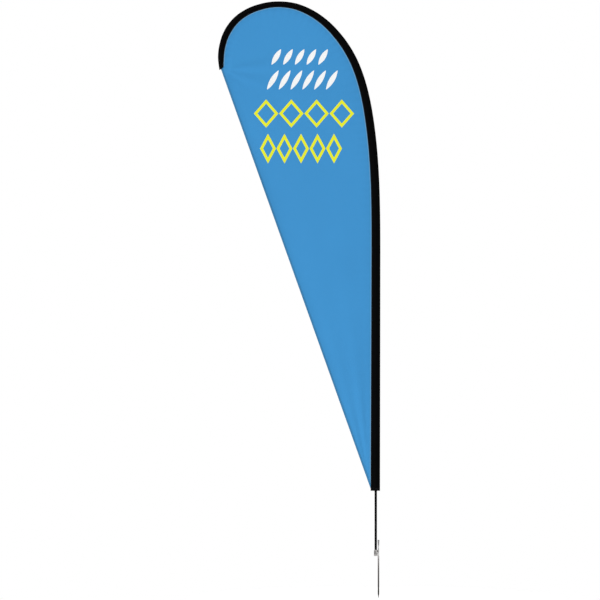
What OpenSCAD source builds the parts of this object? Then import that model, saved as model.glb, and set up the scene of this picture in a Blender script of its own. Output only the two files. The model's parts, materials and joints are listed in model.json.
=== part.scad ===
// Teardrop flag on a rotating ground spike.
// Millimetres, +Z up. The origin is on the spike's axis at ground level. The flag flies towards -X
// and lies in the XZ plane.
// The pole is followed by its arc length t, from its foot up to its tip.

/* [Ground spike] */
// Radius of the steel bar that is driven into the ground
spike_r = 5; // [4.5:0.5:6]
// Depth of the bar's full section below ground
spike_depth = 250; // [200:10:400]
// Length of the conical point below it
point_h = 26; // [15:1:40]
// Radius of the turned-down stem above ground
stem_r = 3.6; // [3.2:0.1:3.8]
// Height of the top of the strike cap
strike_top = 106; // [90:1:120]
// Radius of the strike cap's head
strike_r = 5.6; // [5:0.1:6.5]

/* [Rotating head] */
// Distance from the spike's axis to the pole's axis
pole_offset = 18; // [17:0.5:20]
// Outer radius of the bearing housing
housing_r = 12; // [11.5:0.1:12.5]
// Height of the bearing housing
housing_h = 37.2; // [36:0.1:37.4]
// Outer radius of the two ball bearings
bearing_r = 8; // [7.5:0.1:8.5]
// Radius of the spindle where the bearings sit
journal_r = 4; // [3.5:0.1:4.2]
// Width of a ball bearing
bearing_w = 5; // [4.5:0.1:5.5]
// Radius of a bearing ball
ball_r = 1.3; // [1.2:0.05:1.35]
// Number of balls in a bearing
ball_count = 8; // [6:1:8]
// Height that the spindle rises inside the pole
spindle_rise = 110; // [80:5:140]

/* [Pole] */
// Height of the pole's foot above ground
foot_z = 40; // [40:1:42]
// Arc length of the pole from foot to tip
pole_length = 4530; // [4500:30:4530]
// Outer radius of the lowest pole section
pole_r = 8; // [7.5:0.1:8.2]
// Bore radius of the lowest pole section
pole_bore_r = 6; // [5.8:0.1:6.2]
// Radius of the pole at its tip
tip_r = 2.5; // [2:0.1:3]
// Arc length of each of the three lower sections
section_length = 1140; // [1110:30:1170]
// Length of the ferrule that joins two sections
ferrule_length = 90; // [60:30:120]

/* [Bend] */
// Arc length where the loaded pole starts to bend
bend_start = 1980; // [1950:10:2000]
// Arc length of the shoulder, below which the bend is slight
shoulder_t = 2840; // [2820:10:2860]
// Curvature at the shoulder, as one over the radius in metres
shoulder_bend = 0.34; // [0.32:0.01:0.36]
// Arc length of the tightest bend
crown_t = 4390; // [4370:10:4410]
// Curvature at the tightest bend, as one over the radius in metres
crown_bend = 3.23; // [3.15:0.01:3.3]
// Arc length at which the bending would die out, just past the tip
bend_end = 4600; // [4580:10:4620]

/* [Sleeve and flag] */
// Arc length at which the pole enters the sleeve
mouth_t = 390; // [360:30:420]
// Width of the sleeve at its mouth
mouth_width = 58; // [54:1:60]
// Width of the sleeve at its narrowest, past the top of the bend
crown_width = 34.5; // [33:0.5:38]
// Width of the sleeve's closed end
end_width = 24; // [22:1:28]
// Thickness of the sleeve's cloth, with its seam allowance
sleeve_wall = 0.8; // [0.6:0.1:1]
// Thickness of the flag's cloth as a solid
cloth = 1; // [0.8:0.1:1.2]
// Width of the taped hem along the free edge
hem_width = 12; // [8:1:16]

/* [Tension strap] */
// Height of the collar on the pole, as arc length
collar_t = 431; // [425:1:440]
// Width of the strap's webbing
strap_width = 8; // [6:1:9]
// Length of the strap above its peg
strap_length = 120; // [100:10:150]

/* [Hidden] */
$fn = 64;

// Colours
chrome = [0.80, 0.81, 0.83];
steel = [0.66, 0.67, 0.70];
black = [0.05, 0.05, 0.06];
white = [0.90, 0.90, 0.88];
sky_blue = [0.26, 0.58, 0.81];
deep_blue = [0.24, 0.49, 0.66];
brass = [0.78, 0.64, 0.34];

// Clearances
gap = 0.05;          // between pieces that are fastened together
over = 1;            // how far a cutting shape runs past the face that it cuts
running = 0.08;      // radial, between the pole's bore and the spindle
soft_gap = 0.3;      // between cloth and what it covers

// Ground spike
point_r = 0.6;
cap_h = 34;
cap_top_h = 12;      // solid metal above the stem's end
cap_chamfer = 1.5;
arm_w = 13;
arm_h = 16;
arm_z = 2;
arm_end_x = 2;

// Rotating head, from the bottom up
plug_z = 0.2;
plug_h = 2.6;
spindle_foot_z = 3.2;
lower_bearing_z = 5;
upper_bearing_z = housing_h - bearing_w - 1.2;
pitch_r = (journal_r + bearing_r) / 2;
inner_race_r = journal_r + 1.2;
outer_race_r = bearing_r - 1.2;
groove_r = ball_r + 0.04;
cage_h = 2 * ball_r + 0.9;
cage_t = 1;
flange_r = housing_r - 0.8;
washer_h = 0.8;
washer_r = 10.6;
spindle_r = pole_bore_r - running;
spindle_top = foot_z + spindle_rise;
spindle_lead = 4;
shoulder_z = upper_bearing_z + bearing_w + gap;
flange_z = housing_h + 0.3;
circlip_h = 0.8;
o_ring_r = 0.85;
o_ring_z = [foot_z + 22, foot_z + spindle_rise - 22];
screw_x = -7.2;      // across the split between the housing and the stem
screw_z = 33;
screw_r = 1.6;
screw_head_r = 3.1;
screw_head_h = 3.2;
hex_socket_r = 1.45;
hex_socket_depth = 1.6;
nut_r = 3.2;
nut_h = 2.4;
spot_face_r = 3.5;   // flats that the screw's head and the nut sit against
ear_y = 5.5;
ear_h = 10;
ear_x = -pole_offset + bearing_r / 2;
ear_gap = 0.4;       // between the ears' ends and the stem
split = 1.2;
split_depth = 6;     // below the upper bearing
seat_gap = 0.1;      // round the bearings' outer races

// Pole
pole_sides = 16;
ferrule_wall = 1;
section_ends = [0, section_length, 2 * section_length, 3 * section_length, pole_length];
tip_cap_r = tip_r + 1;
tip_cap_h = 6;
section_2_r = pole_r - 0.4;
section_3_r = 6.5;
section_4_r = 4.6;

// Pole centreline. Its curvature is linear between the knots, as in a rod bent by a pull at its tip.
centre_step = 5;
bend_knots = [[bend_start, 0], [shoulder_t, shoulder_bend / 1000], [crown_t, crown_bend / 1000],
              [bend_end, 0]];
function clamped(v, low, high) = max(low, min(high, v));
function swept(t, a, b) =
    let (u = clamped(t, a[0], b[0]), k = a[1] + (b[1] - a[1]) * (u - a[0]) / (b[0] - a[0]))
    (u - a[0]) * (a[1] + k) / 2;
function total(v, i = 0) = i < len(v) ? v[i] + total(v, i + 1) : 0;
function heading(t) =
    90 + total([for (i = [0:len(bend_knots) - 2]) swept(t, bend_knots[i], bend_knots[i + 1])])
    * 180 / PI;
centre_line = [for (i = 0, p = [-pole_offset, foot_z]; i <= bend_end / centre_step;
    p = p + centre_step * [cos(heading((i + 0.5) * centre_step)), sin(heading((i + 0.5) * centre_step))],
    i = i + 1) p];
function centre(t) =
    let (s = t / centre_step, i = min(floor(s), len(centre_line) - 2))
    centre_line[i] + (centre_line[i + 1] - centre_line[i]) * (s - i);
// The point beside the centreline at t, a distance out from the flag
function beside(t, out) = centre(t) + out * [sin(heading(t)), -cos(heading(t))];
function place(t, p) = let (q = beside(t, p[0])) [q[0], p[1], q[1]];

// All swept pieces have rings at the same places, so that they nest without crossing.
straight_step = 180;
bend_step = 30;
ring_places = concat([for (t = [0:straight_step:bend_start - 1]) t],
                     [for (t = [bend_start:bend_step:bend_end]) t]);
function rings(a, b) = concat([a], [for (t = ring_places) if (t > a && t < b) t], [b]);

// Sleeve section: flat wings that run tangent off a round middle
sleeve_widths = [[mouth_t, mouth_width], [2000, 55], [2840, 52], [3370, 47], [3650, 41],
                 [3900, crown_width], [4280, 41], [4480, 36], [4557, end_width]];
sleeve_shifts = [[mouth_t, -3], [1500, 0], [2040, 1.2], [2840, 0], [3240, 1.4], [3450, -1.4],
                 [3780, 3.6], [4020, -2.4], [4200, 1], [4380, -2.5], [4480, 0]];
sleeve_rounds = [[mouth_t, 13], [620, 13], [900, 9.6], [2280, 9.4], [3420, 8.6], [4557, 5.4]];
wing_tip = 0.9;
arc_steps = 4;
function half_out(t) = lookup(t, sleeve_widths) / 2 + lookup(t, sleeve_shifts);
function half_in(t) = lookup(t, sleeve_widths) / 2 - lookup(t, sleeve_shifts);
function arc(r, from, to) =
    [for (i = [0:arc_steps]) let (a = from + (to - from) * i / arc_steps) r * [cos(a), sin(a)]];
function lens(r, out, inn, tip) =
    let (a = acos(r / out), b = 180 - acos(r / inn))
    concat([[out, -tip], [out, tip]], arc(r, a, b), [[-inn, tip], [-inn, -tip]], arc(r, -b, -a));
function sleeve_outside(t, grow = 0) =
    lens(lookup(t, sleeve_rounds) + sleeve_wall + grow, half_out(t) + grow, half_in(t) + grow,
         wing_tip + grow);
function sleeve_inside(t, shrink = 0) =
    lens(lookup(t, sleeve_rounds) - shrink, half_out(t) - 2 - shrink, half_in(t) - 2 - shrink,
         max(0.1, 0.3 - shrink));
function disc(r) =
    [for (i = [0:pole_sides - 1]) let (a = 360 * i / pole_sides) r * [cos(a), sin(a)]];
// The sleeve's closed end is cut on a slant, further along on its outer side.
last_ring_t = 4480;
mouth_hem_h = 18;
mouth_hem_t = 0.7;
pocket_t = 4543;
end_t = 4550;
end_slant = 6.5;
function slanted(p) = [for (q = p) place(end_t + end_slant * q[0] / (end_width / 2), q)];

// Flag outline
hem_extra = 0.8;     // the hem is folded double
clew_t = mouth_t + 8;
head_t = 4553;
head = beside(head_t, 4);
clew = beside(clew_t, -half_in(clew_t) - soft_gap);
edge_dir = (head - clew) / norm(head - clew);
edge_in = [edge_dir[1], -edge_dir[0]];

// Tension strap
peg_r = 2;
peg_x = -pole_offset - 11;
peg_lip_r = 2.9;
peg_lip_h = 1.2;
strap_play = 1.2;
collar_h = 16;
collar_r = 11.5;
collar_z = foot_z + collar_t;
peg_z = collar_z + collar_h / 2;
collar_screw_x = -pole_offset + pole_r + 1.6;
collar_screw_r = 1;
collar_screw_l = 9;
collar_screw_head_r = 1.7;
collar_screw_head_h = 1.2;
strap_t = 1.1;
strap_sewn = 12;     // length of the strap's end that is sewn to the sleeve
strap_gap = 0.15;

// Solid between rings of points, each ring in the same order
module skin(sections) {
    n = len(sections[0]);
    last = len(sections) - 1;
    polyhedron(
        points = [for (s = sections) each s],
        faces = concat(
            [[for (i = [0:n - 1]) i]],
            [for (j = [0:last - 1]) for (i = [0:n - 1]) each [
                [j * n + i, (j + 1) * n + i, (j + 1) * n + (i + 1) % n],
                [j * n + i, (j + 1) * n + (i + 1) % n, j * n + (i + 1) % n]]],
            [[for (i = [n - 1:-1:0]) last * n + i]]),
        convexity = 8);
}

// Hollow skin, open at both ends. The inner rings match the outer rings one to one.
module open_skin(outer, inner) {
    n = len(outer[0]);
    last = len(outer) - 1;
    m = n * (last + 1);
    polyhedron(
        points = concat([for (s = outer) each s], [for (s = inner) each s]),
        faces = concat(
            [for (j = [0:last - 1]) for (i = [0:n - 1]) each [
                [j * n + i, (j + 1) * n + i, (j + 1) * n + (i + 1) % n],
                [j * n + i, (j + 1) * n + (i + 1) % n, j * n + (i + 1) % n],
                [m + j * n + i, m + (j + 1) * n + (i + 1) % n, m + (j + 1) * n + i],
                [m + j * n + i, m + j * n + (i + 1) % n, m + (j + 1) * n + (i + 1) % n]]],
            [for (i = [0:n - 1]) each [
                [i, (i + 1) % n, m + (i + 1) % n], [i, m + (i + 1) % n, m + i],
                [last * n + i, m + last * n + (i + 1) % n, last * n + (i + 1) % n],
                [last * n + i, m + last * n + i, m + last * n + (i + 1) % n]]]),
        convexity = 8);
}

module bent_rod(t0, t1, r0, r1) {
    function radius(t) = r0 + (r1 - r0) * (t - t0) / (t1 - t0);
    skin([for (t = rings(t0, t1)) [for (p = disc(radius(t))) place(t, p)]]);
}

module bent_tube(t0, t1, r, bore_r) {
    open_skin([for (t = rings(t0, t1)) [for (p = disc(r)) place(t, p)]],
              [for (t = rings(t0, t1)) [for (p = disc(bore_r)) place(t, p)]]);
}

module on_pole_axis(z = 0) {
    translate([-pole_offset, 0, z]) children();
}

module ring(r, bore_r, h) {
    difference() {
        cylinder(r = r, h = h);
        translate([0, 0, -over]) cylinder(r = bore_r, h = h + 2 * over);
    }
}

module groove_ring(at_r, r) {
    rotate_extrude() translate([at_r, 0]) circle(r = r);
}

// ---- Ground spike ----

module spike_rod() {
    color(chrome) {
        translate([0, 0, -spike_depth]) cylinder(r = spike_r, h = spike_depth);
        translate([0, 0, -spike_depth - point_h]) cylinder(r1 = point_r, r2 = spike_r, h = point_h);
        cylinder(r = stem_r, h = strike_top - cap_top_h);
    }
}

// Hardened cap on the stem's end, under the mallet
module strike_cap() {
    foot = strike_top - cap_h;
    color(steel) difference() {
        rotate_extrude() polygon([
            [0, foot], [stem_r + 0.8, foot], [strike_r - 0.9, strike_top - cap_top_h - 2],
            [strike_r, strike_top - cap_top_h + 2], [strike_r, strike_top - cap_chamfer],
            [strike_r - cap_chamfer, strike_top], [0, strike_top]]);
        translate([0, 0, foot - over]) {
            cylinder(r = stem_r + gap, h = over + cap_h - cap_top_h + gap);
        }
    }
}

// Web between the housing and the spike, hollowed at each end to sit against both
module spike_arm() {
    from_x = -pole_offset / 2 - 3;
    color(chrome) difference() {
        translate([from_x, -arm_w / 2, arm_z]) cube([arm_end_x - from_x, arm_w, arm_h]);
        on_pole_axis() cylinder(r = housing_r + gap, h = housing_h);
        translate([0, 0, arm_z - over]) cylinder(r = stem_r + gap, h = arm_h + 2 * over);
    }
}

// Cup for both bearings, split and clamped at its upper end
module bearing_housing() {
    color(chrome) difference() {
        union() {
            on_pole_axis() cylinder(r = housing_r, h = housing_h);
            translate([ear_x, -ear_y, housing_h - ear_h]) {
                cube([-stem_r - ear_gap - ear_x, 2 * ear_y, ear_h]);
            }
        }
        on_pole_axis(-over) {
            cylinder(r = bearing_r + seat_gap, h = over + lower_bearing_z + bearing_w + gap);
        }
        on_pole_axis() cylinder(r = bearing_r - 1, h = housing_h + over);
        on_pole_axis(upper_bearing_z - gap) cylinder(r = bearing_r + seat_gap, h = housing_h);
        translate([ear_x, -split / 2, upper_bearing_z - split_depth]) {
            cube([pole_offset, split, housing_h]);
        }
        translate([screw_x, 0, screw_z]) rotate([90, 0, 0]) {
            cylinder(r = screw_r + gap, h = 4 * ear_y, center = true);
        }
        for (side = [-1, 1]) translate([screw_x, side * 2 * ear_y, screw_z]) rotate([90, 0, 0]) {
            cylinder(r = spot_face_r, h = 2 * ear_y, center = true);
        }
    }
}

module clamp_screw() {
    tail = 2 * ear_y + nut_h + 1.6;
    color(black) translate([screw_x, -ear_y, screw_z]) rotate([90, 0, 0]) difference() {
        union() {
            translate([0, 0, gap]) cylinder(r = screw_head_r, h = screw_head_h);
            translate([0, 0, -tail]) cylinder(r = screw_r, h = tail + 1);
        }
        translate([0, 0, screw_head_h + gap - hex_socket_depth]) {
            cylinder(r = hex_socket_r, h = hex_socket_depth + over, $fn = 6);
        }
    }
}

module clamp_nut() {
    color(black) translate([screw_x, ear_y + gap, screw_z]) rotate([-90, 0, 0]) difference() {
        cylinder(r = nut_r, h = nut_h, $fn = 6);
        translate([0, 0, -over]) cylinder(r = screw_r + gap, h = nut_h + 2 * over);
    }
}

module outer_race(z) {
    color(steel) on_pole_axis(z) difference() {
        ring(bearing_r, outer_race_r, bearing_w);
        translate([0, 0, bearing_w / 2]) groove_ring(pitch_r, groove_r);
    }
}

module upper_outer_race() { outer_race(upper_bearing_z); }

module lower_outer_race() { outer_race(lower_bearing_z); }

module dust_plug() {
    color(black) on_pole_axis(plug_z) cylinder(r = bearing_r + gap, h = plug_h);
}

// ---- Spindle ----

module spindle() {
    color(chrome) on_pole_axis() difference() {
        union() {
            translate([0, 0, spindle_foot_z]) cylinder(r = journal_r - gap, h = housing_h - 3);
            translate([0, 0, shoulder_z]) cylinder(r = journal_r + 1, h = flange_z - shoulder_z + 1);
            translate([0, 0, flange_z]) {
                cylinder(r = flange_r, h = foot_z - washer_h - gap - flange_z);
                cylinder(r = spindle_r, h = spindle_top - spindle_lead - flange_z);
            }
            translate([0, 0, spindle_top - spindle_lead]) {
                cylinder(r1 = spindle_r, r2 = spindle_r - spindle_lead / 2, h = spindle_lead);
            }
        }
        for (z = o_ring_z) translate([0, 0, z - o_ring_r - gap]) {
            ring(spindle_r + 1, spindle_r - 2 * o_ring_r + 0.02, 2 * (o_ring_r + gap));
        }
        translate([0, 0, lower_bearing_z - circlip_h - 2 * gap]) {
            ring(journal_r + 2, journal_r - 0.6, circlip_h + 2 * gap);
        }
    }
}

module inner_race(z) {
    color(steel) on_pole_axis(z) difference() {
        ring(inner_race_r, journal_r, bearing_w);
        translate([0, 0, bearing_w / 2]) groove_ring(pitch_r, groove_r);
    }
}

module upper_inner_race() { inner_race(upper_bearing_z); }

module lower_inner_race() { inner_race(lower_bearing_z); }

module race_spacer() {
    low = lower_bearing_z + bearing_w + gap;
    color(brass) on_pole_axis(low) ring(inner_race_r - 0.2, journal_r, upper_bearing_z - gap - low);
}

module spindle_circlip() {
    color(steel) on_pole_axis(lower_bearing_z - gap - circlip_h) difference() {
        ring(journal_r + 1.1, journal_r - 0.55, circlip_h);
        translate([0, -1.2, -1]) cube([journal_r + 2, 2.4, circlip_h + 2]);
    }
}

module spindle_o_rings() {
    color(black) for (z = o_ring_z) on_pole_axis(z) groove_ring(spindle_r + 0.04 - o_ring_r, o_ring_r);
}

// Plain washer that the pole's foot turns on when it is lifted and set down
module foot_washer() {
    color(white) on_pole_axis(foot_z - washer_h) ring(washer_r, spindle_r + gap, washer_h - 0.02);
}

// ---- Ball sets ----

module ball_places(z) {
    for (i = [0:ball_count - 1]) on_pole_axis(z + bearing_w / 2) {
        rotate([0, 0, 360 * i / ball_count]) translate([pitch_r, 0, 0]) children();
    }
}

module balls(z) {
    color(chrome) ball_places(z) sphere(r = ball_r);
}

module ball_cage(z) {
    color(brass) difference() {
        on_pole_axis(z + (bearing_w - cage_h) / 2) {
            ring(pitch_r + cage_t / 2, pitch_r - cage_t / 2, cage_h);
        }
        ball_places(z) rotate([0, 90, 0]) cylinder(r = ball_r + gap, h = 3, center = true);
    }
}

module upper_ball_cage() { ball_cage(upper_bearing_z); }

module upper_balls() { balls(upper_bearing_z); }

module lower_ball_cage() { ball_cage(lower_bearing_z); }

module lower_balls() { balls(lower_bearing_z); }

// ---- Pole ----

module pole_section_1() {
    color(black) on_pole_axis(foot_z) ring(pole_r, pole_bore_r, section_length - gap);
}

module pole_section_2() {
    color(black) {
        bent_tube(section_ends[1] + gap, section_ends[2] - gap, section_2_r, section_2_r - 2);
    }
}

module pole_section_3() {
    color(black) {
        bent_rod(section_ends[2] + gap, section_ends[3] - gap, section_3_r + 0.6, section_3_r - 1);
    }
}

module pole_section_4() {
    color(black) bent_rod(section_ends[3] + gap, section_ends[4], section_4_r, tip_r);
}

module ferrule(i, bore_r) {
    from = section_ends[i] - ferrule_length / 2;
    color(steel) bent_tube(from, from + ferrule_length, bore_r + ferrule_wall, bore_r);
}

module ferrule_1() {
    color(steel) on_pole_axis(foot_z + section_length - ferrule_length / 2) {
        ring(pole_r + gap + ferrule_wall, pole_r + gap, ferrule_length);
    }
}

module ferrule_2() { ferrule(2, pole_r - 0.2); }

module ferrule_3() { ferrule(3, section_3_r - 0.5); }

// Plastic ball cap that keeps the rod's end from cutting the pocket
module tip_cap() {
    p = beside(pole_length + 1, 0);
    color(white) translate([p[0], 0, p[1]]) rotate([0, 90 - heading(pole_length), 0]) {
        cylinder(r = tip_cap_r, h = tip_cap_h);
        translate([0, 0, tip_cap_h]) sphere(r = tip_cap_r);
    }
}

// ---- Tension strap ----

module tension_collar() {
    color(black) difference() {
        union() {
            on_pole_axis(collar_z) cylinder(r = collar_r, h = collar_h);
            translate([peg_x, 0, peg_z]) rotate([0, -90, 0]) {
                cylinder(r = peg_r, h = strap_width + strap_play + peg_lip_h / 2);
                translate([0, 0, strap_width + strap_play]) cylinder(r = peg_lip_r, h = peg_lip_h);
            }
        }
        on_pole_axis(collar_z - over) cylinder(r = pole_r + gap, h = collar_h + 2 * over);
        translate([-pole_offset + pole_r / 2, -split / 2, collar_z - over]) {
            cube([collar_r, split, collar_h + 2 * over]);
        }
        translate([collar_screw_x, 0, peg_z]) rotate([90, 0, 0]) {
            cylinder(r = collar_screw_r + gap, h = 3 * collar_screw_l, center = true);
            translate([0, 0, collar_screw_l / 2 - gap]) {
                cylinder(r = collar_screw_head_r + gap, h = collar_screw_l);
            }
        }
    }
}

module collar_screw() {
    color(steel) translate([collar_screw_x, 0, peg_z]) rotate([90, 0, 0]) {
        cylinder(r = collar_screw_r, h = collar_screw_l, center = true);
        translate([0, 0, collar_screw_l / 2]) cylinder(r = collar_screw_head_r, h = collar_screw_head_h);
    }
}

// Webbing loop over the collar's peg
module tension_strap() {
    inner_r = peg_r + strap_gap;
    color(black) translate([peg_x - strap_play / 2, 0, peg_z]) rotate([0, -90, 0]) {
        linear_extrude(height = strap_width) difference() {
            union() {
                circle(r = inner_r + strap_t);
                translate([0, -inner_r - strap_t]) square([strap_length, 2 * (inner_r + strap_t)]);
            }
            circle(r = inner_r);
            translate([0, -inner_r]) square([strap_length - strap_sewn, 2 * inner_r]);
        }
    }
}

// ---- Flag ----

module pole_sleeve() {
    places = rings(mouth_t, last_ring_t);
    outer = [for (t = places) [for (p = sleeve_outside(t)) place(t, p)]];
    inner = [for (t = places) [for (p = sleeve_inside(t)) place(t, p)]];
    color(black) {
        open_skin(concat(outer, [slanted(sleeve_outside(end_t))]),
                  concat(inner, [slanted(sleeve_inside(end_t))]));
    }
}

// Cloth turned back inside the open end
module sleeve_mouth_hem() {
    places = [mouth_t, mouth_t + mouth_hem_h];
    color(black) {
        open_skin([for (t = places) [for (p = sleeve_inside(t, 0.1)) place(t, p)]],
                  [for (t = places) [for (p = sleeve_inside(t, 0.1 + mouth_hem_t)) place(t, p)]]);
    }
}

// Doubled webbing that the tip cap pushes into
module tip_pocket() {
    mouth = [for (p = sleeve_inside(pocket_t, 2 * soft_gap)) place(pocket_t, p)];
    color(black) skin([mouth, slanted(sleeve_inside(end_t, soft_gap))]);
}

module outline() {
    places = concat(rings(clew_t, last_ring_t), [end_t - end_slant]);
    polygon(concat([for (t = places) beside(t, -half_in(t) - soft_gap)], [head]));
}

module hem_strip(width) {
    polygon([clew, head, head + width * edge_in, clew + width * edge_in]);
}

module upright(thickness) {
    rotate([90, 0, 0]) linear_extrude(height = thickness, center = true) children();
}

module flag_panel() {
    color(sky_blue) upright(cloth) difference() {
        outline();
        hem_strip(hem_width + gap);
    }
}

module free_edge_hem() {
    color(deep_blue) upright(cloth + hem_extra) intersection() {
        outline();
        hem_strip(hem_width);
    }
}

spike_rod();
strike_cap();
spike_arm();
bearing_housing();
clamp_screw();
clamp_nut();
upper_outer_race();
lower_outer_race();
dust_plug();
spindle();
upper_inner_race();
lower_inner_race();
race_spacer();
spindle_circlip();
spindle_o_rings();
foot_washer();
upper_ball_cage();
upper_balls();
lower_ball_cage();
lower_balls();
pole_section_1();
pole_section_2();
pole_section_3();
pole_section_4();
ferrule_1();
ferrule_2();
ferrule_3();
tip_cap();
tension_collar();
collar_screw();
tension_strap();
pole_sleeve();
sleeve_mouth_hem();
tip_pocket();
flag_panel();
free_edge_hem();
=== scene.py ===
"""Teardrop flag on a rotating ground spike: the looks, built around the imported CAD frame.

Metres, in the CAD frame: +Z up, the flag flies towards -X and lies in the XZ plane.
"""
import json
import math

import bmesh
import bpy
import numpy as np
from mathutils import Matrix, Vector

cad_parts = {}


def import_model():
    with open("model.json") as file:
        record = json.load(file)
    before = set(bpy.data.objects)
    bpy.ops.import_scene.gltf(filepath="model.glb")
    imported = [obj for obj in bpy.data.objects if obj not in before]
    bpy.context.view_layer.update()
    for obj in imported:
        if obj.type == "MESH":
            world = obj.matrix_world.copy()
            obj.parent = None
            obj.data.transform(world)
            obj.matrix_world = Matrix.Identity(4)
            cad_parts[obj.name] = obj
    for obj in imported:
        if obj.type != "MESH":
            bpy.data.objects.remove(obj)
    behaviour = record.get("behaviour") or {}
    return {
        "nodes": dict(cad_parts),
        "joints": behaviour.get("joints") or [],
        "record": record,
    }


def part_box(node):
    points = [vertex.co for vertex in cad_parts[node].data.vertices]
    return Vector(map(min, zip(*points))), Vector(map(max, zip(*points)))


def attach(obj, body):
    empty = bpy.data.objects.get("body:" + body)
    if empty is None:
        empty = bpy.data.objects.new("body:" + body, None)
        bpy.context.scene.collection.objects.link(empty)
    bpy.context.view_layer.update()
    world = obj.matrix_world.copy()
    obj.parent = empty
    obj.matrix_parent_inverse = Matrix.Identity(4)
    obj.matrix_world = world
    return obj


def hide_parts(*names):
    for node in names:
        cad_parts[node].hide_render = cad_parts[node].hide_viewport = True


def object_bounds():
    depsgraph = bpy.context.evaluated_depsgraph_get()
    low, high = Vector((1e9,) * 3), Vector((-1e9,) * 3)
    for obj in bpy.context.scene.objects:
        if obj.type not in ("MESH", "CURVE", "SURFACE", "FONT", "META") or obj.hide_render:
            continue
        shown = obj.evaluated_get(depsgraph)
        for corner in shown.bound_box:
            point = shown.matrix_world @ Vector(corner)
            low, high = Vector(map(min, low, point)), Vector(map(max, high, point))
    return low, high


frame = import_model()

MM = 0.001
CAD_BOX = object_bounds()

# ---- Driving dimensions, as in the CAD source ----

POLE_X = next(j for j in frame["joints"] if j["name"] == "spin")["pos_m"][0]
FOOT_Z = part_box("pole_section_1")[0].z
MOUTH_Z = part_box("pole_sleeve")[0].z
MOUTH_T = MOUTH_Z - FOOT_Z      # the sleeve's open end, as an arc length from the pole's foot
END_T = 4.550                   # its closed end
END_SLANT = 6.5 * MM            # how far the outer edge of its closed end runs on past END_T
BEND_T = 1.9                    # the pole is about straight up to here; its bend gathers the cloth above

# (arc length in metres, curvature in 1/m)
BEND = ((0.0, 0.0), (1.980, 0.0), (2.840, 0.34), (4.390, 3.23), (4.600, 0.0))
# (arc length in metres, width or radius in millimetres)
SLEEVE_WIDTHS = ((MOUTH_T, 58), (2.000, 55), (2.840, 52), (3.370, 47), (3.650, 41), (3.900, 34.5),
                 (4.280, 41), (4.480, 36), (4.557, 24))
SLEEVE_SHIFTS = ((MOUTH_T, -3), (1.500, 0), (2.040, 1.2), (2.840, 0), (3.240, 1.4), (3.450, -1.4),
                 (3.780, 3.6), (4.020, -2.4), (4.200, 1.0), (4.380, -2.5), (4.480, 0))
SLEEVE_ROUNDS = ((MOUTH_T, 13), (0.620, 13), (0.900, 9.6), (2.280, 9.4), (3.420, 8.6), (4.557, 5.4))
SLEEVE_WALL = 0.8 * MM
HEM_WIDTH = 12 * MM
HEM_TUCK = 6 * MM         # how far the hem runs on into the sleeve's closed end
FOLD_OUT = 2.0 * MM       # how far the sleeve's folds stand past the CAD solid
SEAM_WIDTH = 7 * MM
SEAM_FLAT = 4 * MM        # the cloth lies flat this near the seam
HALF_CLOTH = 0.3 * MM
HALF_HEM = 0.9 * MM
BINDING_WIDTH = 7 * MM
HALF_BINDING = 0.8 * MM
CREASE = 50               # edges of the cloth that turn more than this, in degrees, are drawn sharp
FACES = ((-1, "front"), (1, "back"))


def along(table, t):
    """The table's value at arc length t, straight between its rows."""
    return np.interp(t, [row[0] for row in table], [row[1] for row in table])


# ---- Pole centreline ----

LINE_SPACING = 0.002
LINE_T = np.arange(0, BEND[-1][0] + LINE_SPACING / 20, LINE_SPACING)
LINE_TURN = along(BEND, LINE_T)
LINE_STEP = np.diff(LINE_T)
LINE_HEADING = math.pi / 2 + np.r_[0, np.cumsum(LINE_STEP * (LINE_TURN[1:] + LINE_TURN[:-1]) / 2)]
LINE_MID = (LINE_HEADING[1:] + LINE_HEADING[:-1]) / 2
LINE_X = POLE_X + np.r_[0, np.cumsum(LINE_STEP * np.cos(LINE_MID))]
LINE_Z = FOOT_Z + np.r_[0, np.cumsum(LINE_STEP * np.sin(LINE_MID))]


def heading(t):
    """The centreline's direction at t, as an angle from +X."""
    return np.interp(t, LINE_T, LINE_HEADING)


def beside(t, out):
    """The point in the XZ plane beside the centreline at t, a distance out, away from the flag."""
    a = heading(t)
    x = np.interp(t, LINE_T, LINE_X) + out * np.sin(a)
    z = np.interp(t, LINE_T, LINE_Z) - out * np.cos(a)
    return np.stack([x, z], axis=-1)


def half_out(t):
    """How far the CAD sleeve reaches from the centreline at t, away from the flag."""
    return MM * (along(SLEEVE_WIDTHS, t) / 2 + along(SLEEVE_SHIFTS, t))


def half_in(t):
    """How far it reaches towards the flag."""
    return MM * (along(SLEEVE_WIDTHS, t) / 2 - along(SLEEVE_SHIFTS, t))


# ---- Mesh helpers ----

MERGE_DISTANCE = 1e-6
LATHE_SIDES = 64


def mesh_object(name, points, faces, material):
    """A smooth-shaded object with its doubles merged and its faces turned outwards."""
    mesh = bpy.data.meshes.new(name)
    mesh.from_pydata([tuple(p) for p in points], [], [tuple(f) for f in faces])
    mesh.validate()
    build = bmesh.new()
    build.from_mesh(mesh)
    bmesh.ops.remove_doubles(build, verts=build.verts, dist=MERGE_DISTANCE)
    bmesh.ops.dissolve_degenerate(build, edges=build.edges, dist=MERGE_DISTANCE)
    bmesh.ops.recalc_face_normals(build, faces=build.faces)
    build.to_mesh(mesh)
    build.free()
    for polygon in mesh.polygons:
        polygon.use_smooth = True
    made = bpy.data.objects.new(name, mesh)
    bpy.context.scene.collection.objects.link(made)
    mesh.materials.append(material)
    return made


def piece(made, body, slot, *nodes, sharp=None):
    """Puts a finished piece on its body and hides the CAD nodes it stands for. Its slot is not used."""
    if sharp:
        mark_sharp(made, sharp)
    if nodes:
        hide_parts(*nodes)
    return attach(made, body)


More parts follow.
